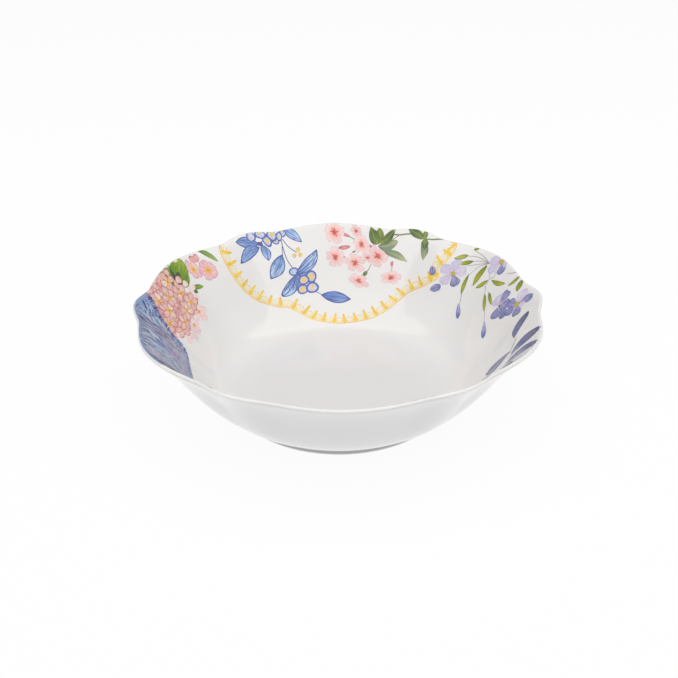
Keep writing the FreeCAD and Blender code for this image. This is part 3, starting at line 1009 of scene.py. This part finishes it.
def leftLeaves(sheet):
    for start, end, width, bend, tone in (
            ((155.0, 8.6), (159.6, -1.2), 9.0, 0.1, 1.0), ((155.2, 9.0), (153.6, -1.7), 11.0, 0.0, 0.7),
            ((155.2, 8.4), (150.6, 14.8), 9.0, 0.15, 0.7), ((155.0, 9.4), (148.2, 7.6), 10.0, -0.1, 0.4),
            ((155.0, 9.0), (147.0, -0.4), 12.0, -0.08, 0.0)):
        leaf(sheet, start, end, width, brightLeaf, point=0.4, belly=0.1, bend=bend, tone=tone, rough=0.04)
    for end, width in (((153.4, 0.5), 2.6), ((158.0, 3.4), 3.0), ((151.2, 5.6), 3.4), ((152.6, 12.6), 3.2)):
        leaf(sheet, (155.2, 9.0), end, width, shadowInk, point=0.8, rough=0.08)
    leaf(sheet, (150.6, 18.0), (145.6, 20.2), 3.6, brightLeaf, point=0.5, bend=0.1, tone=0.2)
    leaf(sheet, (150.6, 18.6), (149.4, 22.0), 3.0, deepLeaf, point=0.5, bend=-0.1, tone=0.5)
    leaf(sheet, (139.6, -1.2), (134.7, 8.4), 3.8, brightLeaf, point=0.7, bend=0.3, tone=0.3)


def pinkPair(sheet):
    for heading, tone in ((120, 0.9), (60, 1.0)):
        petal(sheet, (142.4, 5.4), heading, 5.5, 4.6, hydrangeaPetal, tone=tone)
    floret(sheet, (145.3, 8.4), 6.6, 100, pairPetal, orangeHeart, 5, (0.75, 0), tone=0.3, width=0.95)
    floret(sheet, (140.2, 11.6), 7.4, 20, pairPetal, orangeHeart, 5, (1, 0), tone=0.4, width=1.0)


# ---- left end: the lace ground ----

laceGround = enamel("laceGround", [(0, (118, 142, 184)), (0.5, (134, 150, 184)), (1, (146, 166, 198))],
                    shade=(0.1, (150, 124, 166)), grain=0.04)
laceDark = enamel("laceDark", [(0, (62, 84, 146)), (1, (84, 106, 164))], shade=(0.7, (98, 104, 152)),
                  grain=0.05)
laceLight = enamel("laceLight", [(0, (184, 204, 222)), (1, (160, 186, 212))],
                   shade=(0.6, (192, 196, 212)))
laceRose = enamel("laceRose", [(0, (156, 122, 156)), (1, (176, 144, 172))], shade=(0.6, (128, 112, 162)))

lace = {
    "edge": ((172.3, -1.6), (172.8, 1.5), (173.8, 5), (175.8, 10.5), (177.6, 16), (178.0, 21),
             (179.4, 26.5), (179.2, 32), (179.6, 38), (182.5, 42), (190, 40.5), (198, 41.5), (206, 38),
             (212, 28), (215.5, 14), (216.5, -1.6)),
    "depth": 43.2, "feathers": 900, "fringe": 120, "curls": 40,
}


def laceEnds(down):                       # the two sides of the panel, this far down from the lip
    crossing = []
    edge = lace["edge"]
    for (a0, d0), (a1, d1) in zip(edge, edge[1:]):
        if (d0 <= down) != (d1 <= down):
            crossing.append(a0 + (down - d0) / (d1 - d0) * (a1 - a0))
    return (min(crossing), max(crossing)) if len(crossing) > 1 else None


def lacePanel(sheet):
    field = stampShape["field"]
    down = -printing["overLip"] + (field[:, 1] + 1) / 2 * lace["depth"]
    table = [(d, laceEnds(max(d, -1.5))) for d in np.arange(-2, 41.6, 0.5)]
    table = [(d, *ends) for d, ends in table if ends]
    low, high = (np.interp(down, [t[0] for t in table], [t[k] for t in table]) for k in (1, 2))
    down = np.minimum(down, table[-1][0])
    addMark(sheet, "field", np.column_stack((high + (low - high) * (field[:, 0] + 1) / 2, down)),
            laceGround, 0.3, 0)
    outline = lace["edge"]

    def featherAt(at, length, width, paint, lean):
        # strokes lean with the panel's inner edge and curl a little
        right, up = length * math.cos(math.radians(lean)), length * math.sin(math.radians(lean))
        middle = place(np.array([[right * 0.5 - up * 0.12, up * 0.5 + right * 0.12], [right, up]]), at)
        stroke(sheet, (at, tuple(middle[0]), tuple(middle[1])), width, paint, (0.2, 0.2), "ray",
               layer=random.randint(1, 6))

    placed = 0
    while placed < lace["feathers"]:
        at = (random.uniform(172, 216), random.uniform(-1.4, 41))
        if not inside(outline, at):
            continue
        placed += 1
        rosy = 182 < at[0] < 202 and 14 < at[1] < 36 and random.random() < 0.4
        paint = laceRose if rosy else random.choice((laceDark, laceLight))
        lean = (-104 + 20 * math.sin(at[0] * 0.45) + 24 * math.sin(at[1] * 0.3 + at[0] * 0.2)
                + random.uniform(-14, 14))
        length = random.uniform(4.0, 9.0)
        if inside(outline, (at[0], at[1] + length * 0.9)) or at[1] < 30:
            featherAt(at, length, random.uniform(0.45, 0.95), paint, lean)
    for k in range(lace["curls"]):
        at = (random.uniform(176, 208), random.uniform(1, 34))
        size, start = random.uniform(1.2, 2.6), random.uniform(0, 360)
        turns = np.radians(start + np.arange(0, 420, 40))
        curl = np.column_stack((np.cos(turns), np.sin(turns))) * size
        ring = place(curl * np.linspace(1, 0.3, len(turns))[:, None], at)
        if all(inside(outline, spot) for spot in ring):
            stroke(sheet, ring, 0.5, random.choice((laceDark, laceLight)), layer=7)
    # the dark serrated fringe along the edge
    fringe, _ = throughPlaces(lace["edge"], lace["fringe"])
    outward = beside(fringe, -1.9)
    inward = beside(fringe, 2.2)
    for k in range(lace["fringe"] - 1):
        if fringe[k][1] < 0.5:
            continue
        sway = 2 if k % 3 else -1
        leaf(sheet, tuple(inward[max(0, k - sway)]),
             tuple(outward[k] + (random.uniform(-0.3, 0.3), random.uniform(-0.4, 0.4))),
             random.uniform(1.4, 2.2), laceDark if k % 2 else laceGround, point=0.6, belly=0.3,
             layer=8 + k % 3)


# ---- right wall: lilac and violet flowers, olive leaves, hanging buds ----

lilacPetal = enamel("lilacPetal",
                    [(0, (204, 180, 206)), (0.3, (226, 214, 226)), (0.75, (220, 211, 226)),
                     (1, (204, 201, 220))],
                    edge=(0.82, 0.35, (184, 180, 206)), streak=0.7, shade=(0.6, (172, 170, 206)),
                    grain=0.2)
violetPetal = enamel("violetPetal", [(0, (196, 182, 208)), (0.5, (168, 166, 202)), (1, (134, 140, 184))],
                     edge=(0.84, 0.6, (104, 112, 160)), streak=0.75, shade=(0.6, (124, 130, 176)),
                     grain=0.08)
budViolet = enamel("budViolet",
                   [(0, (206, 202, 226)), (0.45, (172, 172, 212)), (0.8, (120, 124, 180)),
                    (1, (84, 90, 146))],
                   edge=(0.70, 0.6, (104, 110, 166)), streak=0.5)
oliveLeaf = enamel("oliveLeaf",
                   [(0, (118, 130, 36)), (0.4, (176, 182, 46)), (0.8, (192, 196, 66)),
                    (1, (136, 146, 42))],
                   edge=(0.80, 0.7, (92, 106, 34)), vein=(0.12, 0.5, (196, 198, 96)), streak=0.6,
                   shade=(0.6, (118, 132, 46)), grain=0.04)
plumbagoHeart = enamel("plumbagoHeart", [(0, (204, 190, 60)), (1, (212, 200, 80))],
                       edge=(0.62, 0.8, (136, 126, 54)), radial=True)
lilacStem = enamel("lilacStem", [(0, (170, 156, 158)), (1, (188, 180, 190))], grain=0.1)


def plumbagoFlower(sheet, at, radius, headings, heart=True, width=0.66):
    # headings: (heading, how dark, length share) for every petal
    for heading, dark, share in headings:
        petal(sheet, at, heading, radius * share, radius * width, violetPetal if dark > 0.5 else lilacPetal,
              waist=0.32, notch=0.05, start=0.12, tone=abs(dark - 0.5) * 1.6, rough=0.06)
    if heart:
        dot(sheet, at, 4.0, plumbagoHeart, 3.6, rough=0.12)
        dot(sheet, at, 1.2, oliveLeaf)


def plumbagoSpray(sheet):
    hub = (29.2, 5.0)
    for end, middle in (((38.6, 5.6), (35, 4.4)), ((36.6, 8.2), (33.5, 6.2)), ((37.0, 11.6), (33, 8.0)),
                        ((34.2, 16.5), (32.4, 9.5)), ((37.4, 1.4), (33.8, 2.6))):
        stroke(sheet, (hub, middle, end), 0.45, lilacStem)
    for path in (((28.2, 6.5), (25.4, 11.5), (24.4, 18.5)), ((24.6, 17), (23.0, 20), (22.4, 22.5)),
                 ((33.0, 29.5), (31.6, 36), (30.6, 40)), ((17.0, 28), (14.6, 31), (12.2, 34.5)),
                 ((16, -1.5), (17.4, 1.0), (19.5, 3.5)), ((24.6, 12.2), (23.8, 9), (25.0, 6.5))):
        stroke(sheet, path, 0.5, lilacStem)
    for start, end, width, bend, tone in (
            ((38.4, 4.8), (43.0, 8.8), 3.2, 0.1, 0.2), ((35.4, 7.4), (40.6, 11.6), 3.0, 0.1, 0.6),
            ((34.4, 15.6), (33.0, 30.6), 3.0, -0.2, 0.5), ((29.6, 6.2), (30.2, 21.6), 4.4, -0.15, 0.3),
            ((25.2, 13.2), (28.4, 21.8), 3.2, 0.1, 0.2), ((23.8, 12.0), (16.6, 7.2), 3.0, -0.35, 0.4),
            ((13.2, -1.7), (14.4, 7.0), 3.0, 0.1, 0.5), ((11.2, -1.0), (8.6, 5.4), 4.2, 0.0, 1.0),
            ((22.4, 20.8), (16.6, 29.2), 3.4, -0.1, 0.3), ((21.2, 18.2), (15.2, 22.0), 3.0, -0.1, 0.6),
            ((37.9, 1.2), (36.2, -0.6), 1.8, 0.0, 0.9)):
        leaf(sheet, start, end, width, oliveLeaf, point=0.8, bend=bend, tone=tone, rough=0.04)
    for start, end, width in (((32.2, 37), (28.2, 47.6), 3.8), ((12.6, 33.0), (6.6, 43.4), 4.6)):
        leaf(sheet, start, end, width, budViolet, point=0.5, belly=-0.35, bend=0.1)
    for at, width, height, turn in (((49.0, 20.0), 7.0, 5.0, -60), ((45.0, 31.5), 8.6, 6.0, 40)):
        dot(sheet, at, width, violetPetal, height, turn, tone=0.5, layer=9)
    plumbagoFlower(sheet, (40.5, 18.5), 10.2, ((28, 0.45, 0.95), (100, 0.1, 1.0), (165, 0.2, 1.1),
                                               (236, 0.15, 1.05), (308, 0.6, 1.0)), width=0.86)
    plumbagoFlower(sheet, (25.2, 0.6), 9.4, ((193, 0.1, 1.05), (242, 0.2, 1.1), (322, 0.75, 0.95),
                                             (20, 0.1, 0.6)), width=0.84)
    plumbagoFlower(sheet, (10.8, 18.0), 10.6, ((180, 0.1, 0.9), (142, 0.3, 0.85), (108, 0.7, 1.05),
                                               (40, 0.6, 0.8), (288, 0.9, 1.0),
                                              (341, 1.0, 1.2)), heart=False, width=0.8)
    plumbagoFlower(sheet, (4.0, 11.4), 10.2, ((190, 0.55, 0.8), (259, 0.85, 0.95), (119, 0.45, 1.1),
                                              (60, 0.65, 1.05), (10, 0.3, 0.6),
                                             (329, 0.8, 0.95)), width=0.78)
    dot(sheet, (10.6, 18.0), 2.2, deepLeaf, 1.8)


# ---- right end: slate leaves ----

slateInk = enamel("slateInk",
                  [(0, (150, 154, 184)), (0.25, (106, 114, 162)), (0.8, (84, 92, 146)),
                   (1, (72, 80, 130))],
                  edge=(0.80, 0.6, (60, 70, 120)), vein=(0.10, 0.4, (132, 138, 178)), streak=0.85,
                  shade=(0.7, (160, 162, 190)), grain=0.06)


def slateLeaves(sheet):
    for path in (((-21.5, 21.5), (-18.5, 18.5), (-15.4, 15.0)), ((-24.5, 22), (-23.6, 17)),
                 ((-31, 16), (-29.4, 12)),
                 ((-19.4, -1.6), (-20.2, 1.5), (-21.6, 5))):
        stroke(sheet, path, 0.5, slateInk)
    for start, end, width, bend, tone in (
            ((-14.0, 16.8), (-4.2, 7.2), 9.4, 0.1, 0.0), ((-23.2, 20.0), (-19.4, -1.2), 10.0, 0.1, 0.15),
            ((-27.6, 23.0), (-28.8, -1.2), 11.0, 0.1, 0.0), ((-20.4, 20.5), (-20.2, 46.0), 9.6, 0.1, 0.9),
            ((-35.2, 9.0), (-29.6, 27.5), 7.0, -0.1, 1.0)):
        leaf(sheet, start, end, width, slateInk, point=0.7, belly=-0.3, bend=bend, tone=tone, rough=0.03)


# ---- the prints ----

def turnSheet(sheet, middle, to, spread=1.0):
    # the same print again, round the bowl and kept just below the lip
    for mark in sheet:
        mark["places"][:, 0] = to + (mark["places"][:, 0] - middle) * spread
        mark["places"][:, 1] = 1.5 + np.maximum(mark["places"][:, 1], -1) * 0.97


medallion = []
goldBorder(medallion)
blueBranch(medallion)
phloxSpray(medallion)
trailingVine(medallion)
pressSheet("backMedallion", medallion, "medallion_transfer")

leftWall = []
leftLeaves(leftWall)
pinkPair(leftWall)
hydrangeaHead(leftWall)
pressSheet("hydrangeaSpray", leftWall, "hydrangea_transfer")

leftEnd = []
lacePanel(leftEnd)
pressSheet("lacePanel", leftEnd, "lace_transfer")

rightWall = []
plumbagoSpray(rightWall)
pressSheet("plumbagoSpray", rightWall, "plumbago_transfer")

rightEnd = []
slateLeaves(rightEnd)
pressSheet("slateLeaves", rightEnd, "slate_leaf_transfer")

# the front of the inside isn't known: the same motifs, laid out to balance the back
frontMedallion = []
goldBorder(frontMedallion)
blueBranch(frontMedallion)
turnSheet(frontMedallion, 89, 270, 0.72)
pressSheet("frontMedallion", frontMedallion, "front_medallion_transfer")

lilacSpray = []
plumbagoFlower(lilacSpray, (228.5, 12), 8.2, ((30, 0.5, 0.9), (100, 0.1, 0.95), (170, 0.7, 1.0),
                                              (240, 0.2, 1.0), (310, 0.8, 0.95)))
plumbagoFlower(lilacSpray, (222.5, 22), 7.4, ((10, 0.5, 0.9), (82, 0.1, 0.95), (150, 0.7, 1.0),
                                              (226, 0.2, 1.0), (300, 0.8, 0.95)))
for start, end in (((227, 16), (231.5, 27)), ((224, 6), (219.5, 0)), ((230, 7), (234.5, 0))):
    leaf(lilacSpray, start, end, 3.4, oliveLeaf, bend=0.1)
pressSheet("lilacSpray", lilacSpray, "lilac_spray_transfer")

blossomSpray = []
for at, radius, turn in (((316.5, 8), 7.0, 10), ((310.0, 15), 7.2, 50), ((315.5, 24), 6.6, 30)):
    phloxFlower(blossomSpray, at, radius, turn)
for start, end in (((312, 6), (306, 0)), ((319, 14), (321.5, 24)), ((310, 22), (307, 32))):
    leaf(blossomSpray, start, end, 5.0, deepLeaf, point=0.8, belly=0.2, bend=0.1, rough=0.05)
pressSheet("blossomSpray", blossomSpray, "blossom_transfer")

for stamp in stamps.values():
    bpy.data.objects.remove(stamp)


# ---- camera, light and floor ----

studio = {
    "camera": (-0.0212, -0.5183, 0.3241), "tilt": 61.29, "heading": -2.33, "roll": -0.33, "lens": 50.25,
    "sky": 0.39, "floorGlow": 0.935, "floorTone": 0.05,
    "topLight": 23.0, "leftLight": 2.7, "rightLight": 2.8,
}


def makeCamera():
    camera = bpy.data.objects.new("camera", bpy.data.cameras.new("camera"))
    bpy.context.scene.collection.objects.link(camera)
    camera.data.lens = studio["lens"]
    camera.data.clip_start = 0.01
    turn = (Matrix.Rotation(math.radians(studio["heading"]), 4, "Z")
            @ Matrix.Rotation(math.radians(studio["tilt"]), 4, "X")
            @ Matrix.Rotation(math.radians(studio["roll"]), 4, "Z"))
    camera.matrix_world = Matrix.Translation(studio["camera"]) @ turn
    bpy.context.scene.camera = camera


def areaLight(name, size, power, place, colour=(1, 1, 1)):
    light = bpy.data.lights.new(name, "AREA")
    light.color = colour
    light.shape, light.size, light.size_y, light.energy = "RECTANGLE", size[0], size[1], power
    lamp = bpy.data.objects.new(name, light)
    bpy.context.scene.collection.objects.link(lamp)
    lamp.location = place
    lamp.rotation_euler = (Vector((0, 0, 0.03)) - Vector(place)).to_track_quat("-Z", "Y").to_euler()


def makeFloor():
    clearSelection()
    bpy.ops.mesh.primitive_plane_add(size=6)
    floor = bpy.context.object
    floor.name = "floor"
    material, tree, shader = newMaterial("paleFloor", 0.9)
    shader.inputs["Base Color"].default_value = (*[studio["floorTone"]] * 3, 1)
    shader.inputs["Emission Color"].default_value = (1, 1, 1, 1)
    shader.inputs["Emission Strength"].default_value = studio["floorGlow"]
    shader.inputs["Specular IOR Level"].default_value = 0.1
    floor.data.materials.append(material)


makeCamera()
makeFloor()
areaLight("topSoftbox", (2.6, 2.2), studio["topLight"], (0.0, -0.35, 1.35), colour=(1.0, 0.985, 0.965))
areaLight("leftSoftbox", (1.7, 1.6), studio["leftLight"], (-1.2, -0.4, 1.0))
areaLight("rightSoftbox", (1.7, 1.6), studio["rightLight"], (1.2, -0.3, 0.9))
world = bpy.data.worlds.new("studioSky")
world.use_nodes = True
world.node_tree.nodes["Background"].inputs["Color"].default_value = (1, 1, 1, 1)
world.node_tree.nodes["Background"].inputs["Strength"].default_value = studio["sky"]
bpy.context.scene.world = world
bpy.context.scene.view_settings.view_transform = "Standard"
